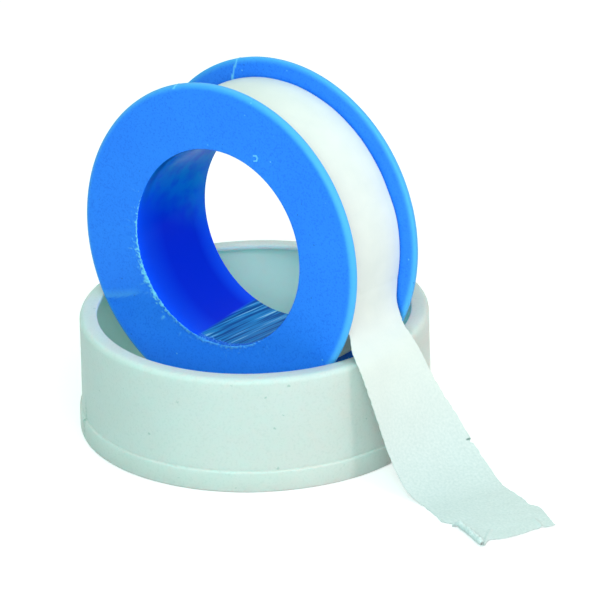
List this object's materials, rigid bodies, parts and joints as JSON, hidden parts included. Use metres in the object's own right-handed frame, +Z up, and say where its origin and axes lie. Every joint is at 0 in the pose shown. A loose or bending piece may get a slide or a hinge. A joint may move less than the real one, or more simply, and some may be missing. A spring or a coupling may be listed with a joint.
{
  "type": "thread seal tape roll",
  "caption": "Roll of white thread seal tape on a flanged blue spool, standing in its lipped push-on cover ring with the free end laid out over the rim.",
  "frame": {"origin": "centre of the cover ring's base, on the surface that it stands on", "axes": "+Z up along the cover ring's axis, -Y towards the viewer's side, +X to the viewer's right"},
  "size_m": [0.066, 0.0693, 0.0524],
  "materials": {
    "cover_plastic": "satin moulded plastic, pale with a cool cast",
    "spool_plastic": "satin moulded plastic, bright blue",
    "seal_tape": "soft white unsintered tape, faintly silky"
  },
  "bodies": {
    "cover": {"cover_ring": "cover_plastic"},
    "tape_end": {"tape_tail": "seal_tape"},
    "reel": {"spool": "spool_plastic", "tape_winding": "seal_tape", "tape_outer_turn": "seal_tape"}
  },
  "joints": [
    {"name": "roll_lift", "type": "slide", "parent": "cover", "child": "tape_end", "axis": [0, 0, 1], "range_m": [0, 0.04]},
    {"name": "spool_spin", "type": "hinge", "parent": "tape_end", "child": "reel", "pos_m": [0, 0, 0.02845], "axis": [-0.6142, -0.7861, 0.0698], "continuous": true}
  ]
}
